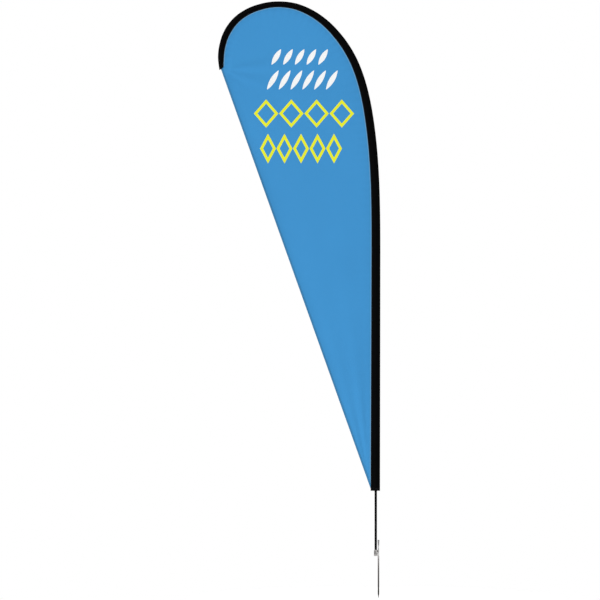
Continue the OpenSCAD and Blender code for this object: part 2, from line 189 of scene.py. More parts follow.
def mark_sharp(made, degrees):
    """Edges that turn more than this are drawn sharp."""
    build = bmesh.new()
    build.from_mesh(made.data)
    for edge in build.edges:
        edge.smooth = not (edge.is_manifold and edge.calc_face_angle() > math.radians(degrees))
    build.to_mesh(made.data)
    build.free()


def ring_faces(rings, sides, start=0, closed=True, flip=False):
    """Quads between rings of points that follow each other in the point list."""
    faces = []
    for j in range(rings - 1):
        for i in range(sides if closed else sides - 1):
            k = (i + 1) % sides
            a = start + j * sides
            b = a + sides
            quad = (a + i, a + k, b + k, b + i)
            faces.append(quad[::-1] if flip else quad)
    return faces


def capped(rings, sides):
    """The faces of a closed bar: its rings, and a cap on each end."""
    last = (rings - 1) * sides
    return ring_faces(rings, sides) + [tuple(range(sides))[::-1], tuple(last + i for i in range(sides))]


def unit(steps):
    """The vectors of an array's rows, each at length 1."""
    return steps / np.linalg.norm(steps, axis=1)[:, None]


def lathe(name, outline, material, axis_x=0.0):
    """A solid turned about a vertical axis. outline is (radius, height) in millimetres, from its lower
    end to its upper end. An outline that starts and ends off the axis closes on itself."""
    solid = outline[0][0] == 0 and outline[-1][0] == 0
    rows = outline[1:-1] if solid else outline
    sides = LATHE_SIDES
    angles = np.arange(sides) * 2 * math.pi / sides
    points = [(axis_x + MM * r * math.cos(a), MM * r * math.sin(a), MM * z)
              for r, z in rows for a in angles]
    faces = ring_faces(len(rows), sides)
    last = (len(rows) - 1) * sides
    if solid:
        points += [(axis_x, 0, MM * outline[0][1]), (axis_x, 0, MM * outline[-1][1])]
        high = len(points) - 1
        low = high - 1
        faces += [(low, (i + 1) % sides, i) for i in range(sides)]
        faces += [(high, last + i, last + (i + 1) % sides) for i in range(sides)]
    else:
        faces += [(last + i, last + (i + 1) % sides, (i + 1) % sides, i) for i in range(sides)]
    return mesh_object(name, points, faces, material)


def eased(outline, radius, steps=3):
    """Rounds every corner of an outline by that radius, in the outline's units, but not its two ends."""
    points = [np.array(p, float) for p in outline]
    made = [points[0]]
    for before, corner, after in zip(points, points[1:], points[2:]):
        into = before - corner
        out = after - corner
        reach = min(radius, np.linalg.norm(into) / 2.2, np.linalg.norm(out) / 2.2)
        a = corner + into / np.linalg.norm(into) * reach
        b = corner + out / np.linalg.norm(out) * reach
        for i in range(steps + 1):
            s = i / steps
            made.append(a * (1 - s) ** 2 + corner * 2 * s * (1 - s) + b * s ** 2)
    made.append(points[-1])
    return [tuple(p) for p in made]


def tube_along(name, points, radius, material, sides):
    """A round tube that follows points, closed at both ends. radius may be one for each point."""
    path = np.asarray(points, float)
    ahead = unit(np.gradient(path, axis=0))
    side = np.cross(ahead, np.array([0, 1, 0]))
    side /= np.maximum(np.linalg.norm(side, axis=1), 1e-9)[:, None]
    up = np.cross(side, ahead)
    angles = np.arange(sides) * 2 * math.pi / sides
    turned = np.cos(angles)[None, :, None] * side[:, None] + np.sin(angles)[None, :, None] * up[:, None]
    rings = path[:, None] + np.broadcast_to(radius, len(path))[:, None, None] * turned
    return mesh_object(name, rings.reshape(-1, 3), capped(len(path), sides), material)


# ---- Materials ----

def set_stops(ramp, stops):
    """Gives a colour ramp its stops, as (place, colour)."""
    while len(ramp.elements) < len(stops):
        ramp.elements.new(0.5)
    for element, (position, colour) in zip(ramp.elements, stops):
        element.position = position
        element.color = (*colour, 1)


class Shader:
    """A Principled material and the few procedural nodes that these surfaces need."""

    def __init__(self, name, **sockets):
        self.material = bpy.data.materials.new(name)
        self.material.use_nodes = True
        self.tree = self.material.node_tree
        self.surface = self.tree.nodes["Principled BSDF"]
        for socket, value in sockets.items():
            self.surface.inputs[socket.replace("_", " ")].default_value = value
        self.place = self.node("ShaderNodeTexCoord").outputs["Object"]

    def node(self, kind, **settings):
        made = self.tree.nodes.new(kind)
        for key, value in settings.items():
            setattr(made, key, value)
        return made

    def link(self, source, target):
        self.tree.links.new(source, target)

    def stretched(self, scale):
        """Object coordinates, scaled along each axis."""
        mapping = self.node("ShaderNodeMapping")
        mapping.inputs["Scale"].default_value = scale
        self.link(self.place, mapping.inputs["Vector"])
        return mapping.outputs["Vector"]

    def noise(self, scale, detail, stretch=(1, 1, 1)):
        made = self.node("ShaderNodeTexNoise")
        made.inputs["Scale"].default_value = scale
        made.inputs["Detail"].default_value = detail
        self.link(self.stretched(stretch), made.inputs["Vector"])
        return made.outputs["Fac"]

    def wave(self, scale, direction, distortion):
        made = self.node("ShaderNodeTexWave", wave_type="BANDS", bands_direction=direction)
        made.inputs["Scale"].default_value = scale
        made.inputs["Distortion"].default_value = distortion
        self.link(self.place, made.inputs["Vector"])
        return made.outputs["Fac"]

    def attribute(self, name):
        return self.node("ShaderNodeAttribute", attribute_name=name).outputs["Fac"]

    def span(self, source, ends_in, ends_out):
        """The source, with the range ends_in spread over the range ends_out."""
        made = self.node("ShaderNodeMapRange")
        for side, (low, high) in (("From", ends_in), ("To", ends_out)):
            made.inputs[side + " Min"].default_value = low
            made.inputs[side + " Max"].default_value = high
        self.link(source, made.inputs["Value"])
        return made.outputs["Result"]

    def multiplied(self, colour, other):
        mix = self.node("ShaderNodeMix", data_type="RGBA", blend_type="MULTIPLY")
        mix.inputs["Factor"].default_value = 1.0
        self.link(colour, mix.inputs["A"])
        self.link(other, mix.inputs["B"])
        return mix.outputs["Result"]

    def darkened(self, colour, source, deepest):
        """The colour, darker by up to that share where the source is 1."""
        return self.multiplied(colour, self.span(source, (0.0, 1.0), (1.0, 1.0 - deepest)))

    def math(self, operation, a, b):
        made = self.node("ShaderNodeMath", operation=operation)
        for socket, value in zip(made.inputs, (a, b)):
            if isinstance(value, (int, float)):
                socket.default_value = value
            else:
                self.link(value, socket)
        return made.outputs["Value"]

    def ramp(self, source, stops):
        made = self.node("ShaderNodeValToRGB")
        set_stops(made.color_ramp, stops)
        self.link(source, made.inputs["Fac"])
        return made.outputs["Color"]

    def colour(self, source):
        self.link(source, self.surface.inputs["Base Color"])

    def roughness(self, source, low, high):
        """Roughness from low to high over the middle half of the source's range."""
        self.link(self.span(source, (0.25, 0.75), (low, high)), self.surface.inputs["Roughness"])

    def bump(self, source, distance, strength):
        made = self.node("ShaderNodeBump")
        made.inputs["Distance"].default_value = distance
        made.inputs["Strength"].default_value = strength
        self.link(source, made.inputs["Height"])
        self.link(made.outputs["Normal"], self.surface.inputs["Normal"])


def shades(colour, *factors):
    """Stops for a colour ramp: the colour, darker and lighter, from 0.3 to 0.7."""
    count = len(factors)
    return [(0.3 + 0.4 * i / (count - 1), tuple(min(1.0, c * f) for c in colour))
            for i, f in enumerate(factors)]


def knitted_cloth(name, colour, contrast, sheen, specular, wale=620.0, hole=0.22, edge=0.0):
    """Warp-knitted polyester: fine wales and courses with darker holes between them, slight
    unevenness and a soft sheen. wale is how fine the knit is, hole how much darker its holes are, and
    edge how much painted shade darkens the cloth by the seam and the free edge."""
    cloth = Shader(name, Roughness=0.8, Sheen_Weight=sheen, Sheen_Roughness=0.45,
                   Specular_IOR_Level=specular)
    wales = cloth.wave(wale, "X", distortion=0.6)
    courses = cloth.wave(wale * 0.8, "Z", distortion=0.8)
    holes = cloth.math("MULTIPLY", wales, courses)
    tint = cloth.ramp(cloth.noise(scale=2.2, detail=5.0), shades(colour, 1 - contrast, 1.0, 1 + contrast))
    tint = cloth.darkened(tint, holes, hole)
    # Painted shade: darker towards the seam and the free edge, by the stored edge nearness
    cloth.colour(cloth.darkened(tint, cloth.attribute("edge"), edge) if edge else tint)
    lumps = cloth.math("MULTIPLY", cloth.noise(scale=60, detail=3), 0.6)
    cloth.bump(cloth.math("SUBTRACT", lumps, holes), distance=0.0002, strength=0.7)
    cloth.roughness(cloth.noise(scale=25, detail=4), low=0.72, high=0.9)
    return cloth.material


def thread_material(name, colour):
    """Twisted polyester sewing thread."""
    thread = Shader(name, Roughness=0.6, Sheen_Weight=0.2, Specular_IOR_Level=0.3)
    thread.colour(thread.ramp(thread.noise(scale=900, detail=2), shades(colour, 0.8, 1.0, 1.2)))
    thread.bump(thread.noise(scale=2500, detail=1), distance=0.0001, strength=0.6)
    return thread.material


def plated_steel():
    """Bright plating, scuffed, and darker towards the buried point: soil staining and painted dark
    reflection.
    """
    steel = Shader("chromed_steel", Metallic=1.0, Roughness=0.2)
    split = steel.node("ShaderNodeSeparateXYZ")
    steel.link(steel.place, split.inputs["Vector"])
    # Darker towards the point, through the grey stops below: soil staining and painted dark reflection
    height = steel.span(split.outputs["Z"], (-0.27, 0.02), (0.0, 1.0))
    grey = steel.ramp(height, [(0.0, (0.03, 0.027, 0.026)), (0.35, (0.08, 0.073, 0.07)),
                               (0.7, (0.24, 0.225, 0.22)), (0.92, (0.50, 0.48, 0.48)),
                               (1.0, (0.62, 0.61, 0.61))])
    dirt = steel.ramp(steel.noise(scale=120, detail=6, stretch=(1, 1, 0.35)),
                      [(0.3, (0.72, 0.70, 0.68)), (0.55, (1, 1, 1))])
    steel.colour(steel.multiplied(grey, dirt))
    steel.roughness(steel.noise(scale=180, detail=5, stretch=(1, 1, 0.2)), low=0.12, high=0.38)
    steel.bump(steel.noise(scale=700, detail=3, stretch=(1, 1, 0.08)), distance=0.00004, strength=0.5)
    return steel.material


def metal(name, colour, low, high, grain=(1, 1, 1)):
    """Metal with a roughness from low to high. grain stretches its unevenness along an axis."""
    made = Shader(name, Metallic=1.0, Roughness=low)
    made.colour(made.ramp(made.noise(scale=240, detail=4, stretch=grain), shades(colour, 0.85, 1.0, 1.1)))
    made.roughness(made.noise(scale=400, detail=4, stretch=grain), low, high)
    made.bump(made.noise(scale=1500, detail=2, stretch=grain), distance=0.00003, strength=0.5)
    return made.material


def plastic(name, colour, low, high, specular=0.4, grain=(1, 1, 1)):
    """Plastic, rubber or paint with a roughness from low to high."""
    made = Shader(name, Roughness=low, Specular_IOR_Level=specular)
    made.colour(made.ramp(made.noise(scale=35, detail=4, stretch=grain), shades(colour, 0.85, 1.0, 1.15)))
    made.roughness(made.noise(scale=60, detail=4, stretch=grain), low, high)
    made.bump(made.noise(scale=900, detail=2, stretch=grain), distance=0.00004, strength=0.5)
    return made.material


# (colour, lowest roughness, highest roughness, grain)
METALS = {
    "housing_steel": ((0.40, 0.385, 0.38), 0.14, 0.34, (1, 1, 0.15)),
    "arm_steel": ((0.80, 0.79, 0.78), 0.42, 0.6),
    "strike_steel": ((0.34, 0.33, 0.33), 0.3, 0.5),
    "weld_bead": ((0.58, 0.57, 0.57), 0.18, 0.4),
    "bearing_steel": ((0.60, 0.61, 0.63), 0.08, 0.2),
    # black_screw: the dark clamp screw by the housing's top stands in for the shade seen there, as painted
    # shade
    "black_screw": ((0.03, 0.03, 0.032), 0.35, 0.55),
    "cage_brass": ((0.70, 0.50, 0.22), 0.25, 0.4),
    "ferrule_metal": ((0.62, 0.63, 0.65), 0.25, 0.4, (1, 1, 0.1)),
}
# (colour, lowest roughness, highest roughness, specular, grain)
PLASTICS = {
    "seal_rubber": ((0.02, 0.02, 0.02), 0.75, 0.9, 0.25),
    "washer_nylon": ((0.80, 0.80, 0.77), 0.4, 0.55),
    "pole_black": ((0.002, 0.002, 0.0022), 0.5, 0.65, 0.02, (1, 1, 0.02)),
    "collar_plastic": ((0.02, 0.02, 0.022), 0.45, 0.6),
    "cap_plastic": ((0.75, 0.75, 0.72), 0.4, 0.55),
}
# (colour, contrast, sheen, specular, wale, hole, edge: painted shade by the seam and the free edge)
CLOTHS = {
    "webbing": ((0.02, 0.02, 0.022), 0.1, 0.3, 0.3, 500.0),
    "sleeve_cloth": ((0.0026, 0.0026, 0.0028), 0.15, 0.003, 0.02, 520.0, 0.8),
    # flag_cloth: its edge value is painted shade by the seam and the free edge
    "flag_cloth": ((0.0560, 0.313, 0.670), 0.018, 0.05, 0.12, 620.0, 0.22, 0.1),
    # hem_cloth: its darker blue is painted shade along the doubled hem
    "hem_cloth": ((0.048, 0.228, 0.445), 0.05, 0.05, 0.12),
    "seam_binding": ((0.15, 0.375, 0.62), 0.06, 0.05, 0.12, 520.0),
    "white_print": ((0.98, 0.99, 0.99), 0.01, 0.05, 0.12, 620.0, 0.08),
    "yellow_print": ((0.90, 0.93, 0.03), 0.02, 0.05, 0.12),
}
# (colour,)
THREADS = {
    "black_thread": ((0.012, 0.012, 0.013),),
    "blue_thread": ((0.07, 0.28, 0.52),),
}

MAKERS = ((metal, METALS), (plastic, PLASTICS), (knitted_cloth, CLOTHS), (thread_material, THREADS))
MATERIALS = {"chromed_steel": plated_steel()}
for make, table in MAKERS:
    for name, values in table.items():
        MATERIALS[name] = make(name, *values)

# Every CAD node takes its slot's material, but two steel pieces of the head have a finish of their own
for row in frame["record"]["subparts"]:
    shown = frame["nodes"][row["node"]]
    shown.data.materials.clear()
    shown.data.materials.append(MATERIALS[row["material_slot"]])
frame["nodes"]["bearing_housing"].data.materials[0] = MATERIALS["housing_steel"]
frame["nodes"]["spike_arm"].data.materials[0] = MATERIALS["arm_steel"]

# ---- Flag surface ----

SEAM_POINTS = 420
CLEW_T = MOUTH_T + 8 * MM
SEAM_T = np.linspace(CLEW_T, END_T - END_SLANT, SEAM_POINTS)
SEAM_LINE = beside(SEAM_T, -half_in(SEAM_T))
CLEW = SEAM_LINE[0]             # the panel's lower corner
HEAD = beside(4.553, 4 * MM)    # the free edge's upper end, in the sleeve's closed end
EDGE_LENGTH = np.linalg.norm(HEAD - CLEW)
EDGE_AHEAD = (HEAD - CLEW) / EDGE_LENGTH
EDGE_IN = np.array([EDGE_AHEAD[1], -EDGE_AHEAD[0]])

# The cloth's relief: heights, and the lengths in metres over which they repeat or fade
BELLY = 9 * MM
EDGE_WAVE = 5 * MM              # the free edge's lazy wave
EDGE_WAVE_LENGTH = 1.25
EDGE_WAVE_FADE = 0.16
LOW_FOLD = 2.8 * MM             # folds that fan out of the lower corner
LOW_FOLD_FAN = 46               # radians of their wave for each radian of the fan
LOW_FOLD_FADE = 1.1
HIGH_FOLD = 2.6 * MM            # folds that fan out of the upper corner
HIGH_FOLD_FAN = 15
HIGH_FOLD_FADE = 0.7
SEAM_PUCKER = 1.3 * MM
SEAM_PUCKER_LENGTH = 0.052
SEAM_PUCKER_FADE = 0.045

PANEL_COLUMNS = 360
PANEL_ROWS = 72
HEM_COLUMNS = 320
BINDING_COLUMNS = 420
EDGE_SHADE = 22 * MM            # how far in the painted shade reaches from the seam and the free edge


def eased_step(x):
    """From 0 to 1 as x goes from 0 to 1, level at both."""
    x = np.clip(x, 0, 1)
    return x * x * (3 - 2 * x)


def seam_distance(flat):
    """How far each XZ point is from the sewn seam, and the arc length of the nearest place on it."""
    gaps = np.hypot(flat[:, 0, None] - SEAM_LINE[None, :, 0], flat[:, 1, None] - SEAM_LINE[None, :, 1])
    return gaps.min(axis=1), SEAM_T[gaps.argmin(axis=1)]


def billow(points):
    """How far the flag's cloth stands out of its plane, along Y, at points in the XZ plane.

    A slight belly between the seam and the free edge, long tension folds that run out of both
    corners, puckers along the sewn seam and a lazy wave in the free edge. Each eased_step fades its
    part in over the length that it divides by.
    """
    flat = np.asarray(points, float).reshape(-1, 2)
    away = flat - CLEW
    edge_s = away @ EDGE_AHEAD
    edge_d = away @ EDGE_IN
    seam_d, seam_s = seam_distance(flat)
    across = np.clip(edge_d / np.maximum(edge_d + seam_d, 1e-6), 0, 1)
    up = np.clip(edge_s / EDGE_LENGTH, 0, 1)
    ends = eased_step(edge_s / 0.5) * eased_step((EDGE_LENGTH - edge_s + 0.35) / 0.6)
    clear = np.maximum(seam_d - SEAM_FLAT, 0)
    free = eased_step(clear / 0.06)
    belly = -BELLY * np.sin(math.pi * across ** 0.8) * ends * (0.4 + 0.6 * up)

    fan_low = np.arctan2(edge_d, np.maximum(edge_s, 0.01))
    low_folds = LOW_FOLD * np.sin(LOW_FOLD_FAN * fan_low + 0.6) * np.exp(-edge_s / LOW_FOLD_FADE) * ends

    drop = HEAD - flat
    fan_high = np.arctan2(np.abs(drop @ EDGE_IN), np.maximum(drop @ EDGE_AHEAD, 0.01))
    reach = np.linalg.norm(drop, axis=1)
    high_folds = HIGH_FOLD * np.sin(HIGH_FOLD_FAN * fan_high + 0.9) * np.exp(-reach / HIGH_FOLD_FADE)
    high_folds *= eased_step(reach / 0.2)

    uneven = 1.4 * np.sin(seam_s * 7.3)
    puckers = SEAM_PUCKER * np.sin(2 * math.pi * seam_s / SEAM_PUCKER_LENGTH + uneven)
    puckers *= np.exp(-clear / SEAM_PUCKER_FADE) * eased_step(clear / 0.012)
    puckers *= 0.4 + 0.6 * eased_step(seam_s - BEND_T)

    wave = EDGE_WAVE * np.sin(2 * math.pi * edge_s / EDGE_WAVE_LENGTH + 0.5)
    wave *= np.exp(-edge_d / EDGE_WAVE_FADE)
    wave *= eased_step(edge_s / 0.4) * eased_step((EDGE_LENGTH - edge_s) / 0.4)
    made = (belly + low_folds + high_folds + wave) * free + puckers
    return made.reshape(np.asarray(points).shape[:-1])


def on_cloth(points, lift):
    """3-D points over the XZ points, a distance lift off the middle of the cloth. The front is -Y."""
    points = np.asarray(points, float)
    y = billow(points) + lift
    return np.stack([points[..., 0], y, points[..., 1]], axis=-1)


def slab(name, grid, half, material, loop=False):
    """A closed sheet of cloth over a grid of XZ points, half its thickness to each side. The rows of
    a loop meet end to end."""
    grid = np.asarray(grid, float)
    if loop:
        grid = np.concatenate([grid, grid[:1]])
    rows, columns = grid.shape[:2]
    points = np.concatenate([on_cloth(grid, -half).reshape(-1, 3), on_cloth(grid, half).reshape(-1, 3)])
    count = rows * columns
    faces = ring_faces(rows, columns, closed=False) + ring_faces(rows, columns, count, False, True)
    sides = [[j * columns + i for j in range(rows)] for i in (0, columns - 1)]
    ends = [[j * columns + i for i in range(columns)] for j in (0, rows - 1)]
    for rim in sides if loop else sides + ends:
        faces += [(a, b, count + b, count + a) for a, b in zip(rim, rim[1:])]
    return mesh_object(name, points, faces, material)


def panel_grid():
    """Rows of points from the seam across to the free edge's hem, closer together at both."""
    q = np.linspace(0.0006, 1, PANEL_COLUMNS)      # starts just off the corner, where a row has a length
    t = CLEW_T + (END_T - END_SLANT - CLEW_T) * q
    under_seam = 0.7 * SEAM_WIDTH * eased_step(q / 0.01)
    seam = beside(t, -half_in(t) + under_seam)
    share = 1.325 * q - 0.325 * q ** 4.08          # keeps the rows even as the seam bends over the top
    under_hem = 0.4 * HEM_WIDTH
    edge = CLEW + np.outer(share * EDGE_LENGTH, EDGE_AHEAD) + under_hem * EDGE_IN
    v = np.linspace(0, 1, PANEL_ROWS)
    v -= 0.13 * np.sin(2 * math.pi * v)            # draws the rows together at both sides
    return seam[:, None] * (1 - v)[None, :, None] + edge[:, None] * v[None, :, None]


def hem_grid():
    """The free edge's tape, which runs on into the sleeve's closed end."""
    s = np.linspace(0, EDGE_LENGTH + HEM_TUCK, HEM_COLUMNS)
    middle = CLEW + np.outer(s, EDGE_AHEAD)
    width = np.minimum(HEM_WIDTH, 0.3 * s + 2 * MM)     # narrows towards the lower corner
    v = np.linspace(0, 1, 5)
    return middle[:, None] + (width[:, None, None] * v[None, :, None]) * EDGE_IN


def shade_edges(made):
    """Stores how near each point is to the seam or the free edge, from 1 on an edge down to 0, for the
    painted shade along them.
    """
    points = np.empty(len(made.data.vertices) * 3)
    made.data.vertices.foreach_get("co", points)
    flat = points.reshape(-1, 3)[:, [0, 2]]
    seam = seam_distance(flat)[0]
    free = np.abs((flat - CLEW) @ EDGE_IN - HEM_WIDTH)
    edge = made.data.attributes.new("edge", "FLOAT", "POINT")
    edge.data.foreach_set("value", np.exp(-np.minimum(seam, free) / EDGE_SHADE).astype(np.float32))


def binding_grid():
    """A narrow tape on the panel, against the sleeve's inner edge. Its ends run in under the sleeve."""
    t = np.linspace(CLEW_T + 8 * MM, END_T - END_SLANT - 2 * MM, BINDING_COLUMNS)
    shown = eased_step((t - t[0]) / (45 * MM)) * eased_step((t[-1] - t) / (12 * MM))
    under_sleeve = np.linspace(3 * MM, 0, 4)[:, None]
    out = under_sleeve - np.linspace(0, BINDING_WIDTH, 4)[:, None] * shown
    return np.stack([beside(t, -half_in(t) + v) for v in out], axis=1)


panel = slab("flag_panel_cloth", panel_grid(), HALF_CLOTH, MATERIALS["flag_cloth"])
shade_edges(panel)
piece(panel, "pole", "flag_cloth", "flag_panel", sharp=CREASE)
hem = slab("free_edge_tape", hem_grid(), HALF_HEM, MATERIALS["hem_cloth"])
piece(hem, "pole", "hem_cloth", "free_edge_hem", sharp=CREASE)
binding = slab("seam_binding_tape", binding_grid(), HALF_BINDING, MATERIALS["seam_binding"])
piece(binding, "pole", "flag_cloth", sharp=CREASE)

# ---- Pole sleeve ----

PUCKER = 1.1 * MM
# For each side of the sleeve: the puckers' length, then the strength, rate and shift of their unevenness
PUCKERS = {-1: (0.047, 1.1, 9.1, 0.0), 1: (0.051, 1.3, 7.7, 1.7)}
MOUTH_HEM = 18 * MM
MOUTH_HEM_WALL = 1.5 * MM
OUTER_TIP = 1.1 * MM      # half the thickness of the sleeve's flat edges, outside and in its cavity
INNER_TIP = 0.2 * MM
ARC_POINTS = 6            # round the pole
WING_POINTS = 4           # from there to each edge


def section(r, out, inn, flat, tip):
    """Half of the sleeve's cross-section, from its outer fold to its seam, as (out, y) points.

    It is wrapped round a circle of radius r and reaches out and inn to its two edges. flat is the
    width of the seam. It is 0 inside, where the seam's points meet in one.
    """
    root = inn - flat
    low = math.acos(min(0.98, (r - tip) / out))
    high = math.pi - math.acos(min(0.98, (r - tip) / root))
    bend = [np.array([r * math.cos(a), r * math.sin(a)]) for a in np.linspace(low, high, ARC_POINTS)]
    fold = [(out, 0.0), (out - tip * 0.3, tip * 0.7)]
    start = np.array([out - tip, tip])
    end = np.array([-root, tip])
    first = [start + (bend[0] - start) * i / WING_POINTS for i in range(WING_POINTS)]
    last = [bend[-1] + (end - bend[-1]) * i / WING_POINTS for i in range(1, WING_POINTS)]
    seam = [(-root, tip), (-root - flat * 0.5, tip), (-inn, tip)]
    return np.array(fold + first + bend + last + seam)


def sleeve_ring(t, inset=0.0):
    """Points round the sleeve at t. inset is how far inside the outer surface it is."""
    r = MM * along(SLEEVE_ROUNDS, t) + SLEEVE_WALL - inset
    out = half_out(t) + FOLD_OUT
    inn = half_in(t) + FOLD_OUT
    if inset > 0:
        half = section(r, out - 2 * inset, inn - SEAM_WIDTH, 0.0, INNER_TIP)
    else:
        half = section(r, out, inn, SEAM_WIDTH, OUTER_TIP)

    bent = eased_step((t - BEND_T) / 1.2)
    pole_side = 0.3 * r
    inside = np.clip((-half[:, 0] - pole_side) / (inn - SEAM_WIDTH - pole_side + 1e-6), 0, 1)
    outside = np.clip((half[:, 0] - pole_side) / (out - pole_side + 1e-6), 0, 1)
    weight = (np.sin(math.pi * inside) * (0.2 + 0.8 * bent)
              + 0.4 * np.sin(math.pi * outside) * (0.4 + 0.6 * bent))

    def puckered(side):
        length, strength, rate, shift = PUCKERS[side]
        phase = 2 * math.pi * t / length + strength * np.sin(t * rate) + shift
        made = half.copy()
        made[:, 1] += PUCKER * weight * np.sin(phase)
        made[:, 1] *= side
        return made

    ring = np.concatenate([puckered(-1), puckered(1)[::-1][:-1]])
    slant = END_SLANT * eased_step((t - END_T + 0.04) / 0.04)
    place = t + slant * ring[:, 0] / half_out(t)
    flat = np.array([beside(p, u) for p, u in zip(place, ring[:, 0])])
    return np.stack([flat[:, 0], ring[:, 1], flat[:, 1]], axis=-1)


def sleeve():
    """The whole sleeve as one closed skin, outside and inside, with its mouth's hem turned in."""
    last_part = 4.50
    # Closer together in the mouth's hem, in the bend and at the closed end
    places = np.concatenate([MOUTH_T + MM * np.array([0, 0.6, 2, 9, 16, 17.9, 18.2, 20]),
                             np.arange(MOUTH_T + 0.030, BEND_T, 0.020),
                             np.arange(BEND_T, last_part, 0.009),
                             np.arange(last_part, END_T, 0.005), [END_T]])
    hemmed = (places > MOUTH_T + 0.3 * MM) & (places < MOUTH_T + MOUTH_HEM)
    walls = np.where(hemmed, MOUTH_HEM_WALL, SLEEVE_WALL)
    outer = [sleeve_ring(t) for t in places]
    inner = [sleeve_ring(t, wall) for t, wall in zip(places, walls)]
    sides = len(outer[0])
    rings = len(places)
    count = sides * rings
    faces = ring_faces(rings, sides) + ring_faces(rings, sides, count, flip=True)
    for start in (0, count - sides):
        for i in range(sides):
            a = start + i
            b = start + (i + 1) % sides
            faces.append((a, b, count + b, count + a))
    return mesh_object("sleeve_cloth_tube", np.concatenate(outer + inner), faces, MATERIALS["sleeve_cloth"])


sleeve_tube = piece(sleeve(), "pole", "sleeve_cloth", "pole_sleeve", "sleeve_mouth_hem", sharp=CREASE)

# ---- Stitching ----

STITCH = 5 * MM
STITCH_POINTS = 3         # the first of them dips into the cloth, the others ride on it
STITCH_DIP = -0.45 * MM
STITCH_RISE = 0.25 * MM
THREAD_R = 0.35 * MM
TACK_THREAD_R = 0.4 * MM
TACK_TURNS = 15
TACK_INSET = 1.2 * MM     # from each edge of the seam
TACK_LIFT = 1.45 * MM     # off the seam's middle


def stitched(name, row, side, material, slot):
    """A row of stitches on the cloth's front (-1) or back (1).

    row is the row's length, and a function that gives the surface's points at distances s along it.
    """
    length, at = row
    s = np.arange(int(length / STITCH) * STITCH_POINTS + 1) * STITCH / STITCH_POINTS
    points = at(s)
    points[:, 1] += side * np.where(np.arange(len(s)) % STITCH_POINTS == 0, STITCH_DIP, STITCH_RISE)
    piece(tube_along(name, points, THREAD_R, MATERIALS[material], sides=4), "pole", slot)


def seam_row(inset, side):
    """Along the sleeve's seam, inset from its inner edge."""
    def at(s):
        t = MOUTH_T + 4 * MM + s
        flat = beside(t, -half_in(t) - FOLD_OUT + inset)
        return np.stack([flat[:, 0], np.full(len(s), side * OUTER_TIP), flat[:, 1]], axis=-1)
    return END_T - MOUTH_T - 10 * MM, at


def hem_row(inset, side):
    """Along the free edge's tape, inset from its outer edge."""
    def at(s):
        flat = CLEW + np.outer(30 * MM + s, EDGE_AHEAD) + inset * EDGE_IN
        return on_cloth(flat, side * HALF_HEM)
    return EDGE_LENGTH - 36 * MM, at


def walked(path):
    """The distances of a path's points along it, and a function that gives the points at distances s."""
    steps = np.r_[0, np.cumsum(np.linalg.norm(np.diff(path, axis=0), axis=1))]
    return steps, lambda s: np.stack([np.interp(s, steps, path[:, i]) for i in range(3)], axis=-1)


def ring_row(t, side):
    """Across the sleeve at t."""
    ring = sleeve_ring(t)
    half = ring[ring[:, 1] * side > 0.5 * MM]
    steps, at = walked(half[half[:, 0].argsort()])
    return steps[-1], at


def bar_tack(name, t, length, side):
    """A dense zigzag over the seam, where the free edge's tape is anchored."""
    s = np.arange(TACK_TURNS * 2 + 1) / (TACK_TURNS * 2)
    inset = np.where(np.arange(len(s)) % 2, TACK_INSET, SEAM_WIDTH - TACK_INSET)
    place = t + s * length
    flat = beside(place, -half_in(place) - FOLD_OUT + inset)
    path = np.stack([flat[:, 0], np.full(len(s), side * TACK_LIFT), flat[:, 1]], axis=-1)
    piece(tube_along(name, path, TACK_THREAD_R, MATERIALS["black_thread"], sides=5), "pole", "sleeve_cloth")


SEAM_ROWS = (2 * MM, 5.5 * MM)
HEM_ROWS = (2.5 * MM, 9.5 * MM)
CROSS_ROWS = (MOUTH_T + 4 * MM, MOUTH_T + 16 * MM, END_T - 5 * MM, END_T - 9 * MM)
BAR_TACKS = ((CLEW_T + 4 * MM, 12 * MM), (END_T - END_SLANT - 18 * MM, 14 * MM))

for side, face in FACES:
    for number, inset in enumerate(SEAM_ROWS):
        row = seam_row(inset, side)
        stitched(f"seam_stitches_{face}_{number}", row, side, "black_thread", "sleeve_cloth")
    for number, inset in enumerate(HEM_ROWS):
        row = hem_row(inset, side)
        stitched(f"hem_stitches_{face}_{number}", row, side, "blue_thread", "hem_cloth")
    for number, t in enumerate(CROSS_ROWS):
        row = ring_row(t, side)
        stitched(f"cross_stitches_{face}_{number}", row, side, "black_thread", "sleeve_cloth")
    for number, (t, length) in enumerate(BAR_TACKS):
        bar_tack(f"bar_tack_{face}_{number}", t, length, side)

# ---- Printed pattern ----

PRINT_LIFT = 0.15 * MM
STROKE = 18 * MM
PRINT_STEP = 12 * MM
LEAF_POINTS = 33
LEAF_WIDTH = 34 * MM
LEAF_END = 0.5 * MM
LEAF_LEAN = 0.6                    # sideways, as a share of the leaf's height
ACROSS = (1, 0.33, -0.33, -1)      # places across a stroke, as shares of half its width


def printed(name, grid, material, loop=False):
    """A stroke of print that shows on both sides of the cloth."""
    made = slab(name, grid, HALF_CLOTH + PRINT_LIFT, MATERIALS[material], loop)
    return piece(made, "pole", "flag_cloth", sharp=CREASE)


def divided(corners):
    """Points along the straight runs between corners, PRINT_STEP apart at most, without the last."""
    made = []
    for a, b in zip(np.array(corners, float), np.array(corners[1:], float)):
        count = max(2, math.ceil(np.linalg.norm(b - a) / PRINT_STEP))
        made += [a + (b - a) * i / count for i in range(count)]
    return np.array(made)


